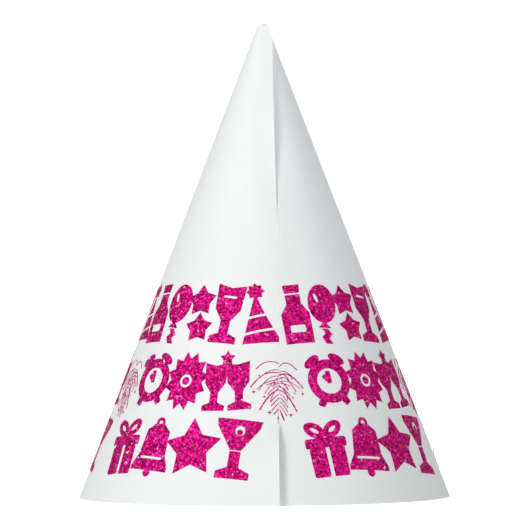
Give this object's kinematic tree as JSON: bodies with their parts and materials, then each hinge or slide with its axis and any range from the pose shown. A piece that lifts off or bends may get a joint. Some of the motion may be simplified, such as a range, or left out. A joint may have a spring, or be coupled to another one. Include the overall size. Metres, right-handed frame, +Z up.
{
  "type": "party hat",
  "caption": "Rolled white card cone hat with a slotted lock seam, loose seam edges, string tongues near the rim and a hot pink glitter print.",
  "frame": {"origin": "centre of the rim circle, on the plane the hat stands on", "axes": "+Z up the axis to the tip; the lapped seam faces -Y; +X to the right when the seam is seen from the front"},
  "size_m": [0.1395, 0.1402, 0.1776],
  "materials": {
    "card": "matt white coated card",
    "glitter_print": "hot pink glitter film"
  },
  "bodies": {
    "cone": {"card_wall": "card", "tab_fold": "card", "upper_figures_front_left": "glitter_print", "upper_figures_front_right": "glitter_print", "upper_figures_right": "glitter_print", "upper_figures_back": "glitter_print", "upper_figures_left": "glitter_print", "middle_figures_front_left": "glitter_print", "middle_figures_front_right": "glitter_print", "middle_figures_right": "glitter_print", "middle_figures_back": "glitter_print", "middle_figures_left": "glitter_print", "lower_figures_front_left": "glitter_print", "lower_figures_front_right": "glitter_print", "lower_figures_right": "glitter_print", "lower_figures_back": "glitter_print", "lower_figures_left": "glitter_print", "firework_seam": "glitter_print", "firework_right": "glitter_print", "firework_back_right": "glitter_print", "firework_back_left": "glitter_print", "firework_left": "glitter_print"},
    "upper_flap": {"upper_flap": "card"},
    "lower_flap": {"lower_flap": "card"},
    "lock_tab": {"lock_tab": "card"},
    "string_tongue_left": {"string_tongue_left": "card"},
    "string_tongue_right": {"string_tongue_right": "card"}
  },
  "joints": [
    {"name": "upper_flap_crease", "type": "hinge", "parent": "cone", "child": "upper_flap", "pos_m": [-0.00366, -0.0699, 0], "axis": [-0.0187, -0.3576, -0.9337], "range_deg": [-4.5, 50], "stiffness_Nm_per_rad": 0.001},
    {"name": "lower_flap_crease", "type": "hinge", "parent": "cone", "child": "lower_flap", "pos_m": [-0.00061, -0.07, 0], "axis": [-0.0031, -0.3581, -0.9337], "range_deg": [-4.5, 50], "stiffness_Nm_per_rad": 0.001},
    {"name": "lock_tab_crease", "type": "hinge", "parent": "cone", "child": "lock_tab", "pos_m": [0.00493, -0.04102, 0.0708], "axis": [-0.0095, 0.3597, 0.933], "range_deg": [0, 30], "stiffness_Nm_per_rad": 0.002},
    {"name": "string_tongue_left_crease", "type": "hinge", "parent": "cone", "child": "string_tongue_left", "pos_m": [-0.06436, 0, 0.0147], "axis": [0, -1, 0], "range_deg": [-12, 40], "stiffness_Nm_per_rad": 0.0002},
    {"name": "string_tongue_right_crease", "type": "hinge", "parent": "cone", "child": "string_tongue_right", "pos_m": [0.06387, 0, 0.0147], "axis": [0, 1, 0], "range_deg": [-12, 40], "stiffness_Nm_per_rad": 0.0002}
  ]
}
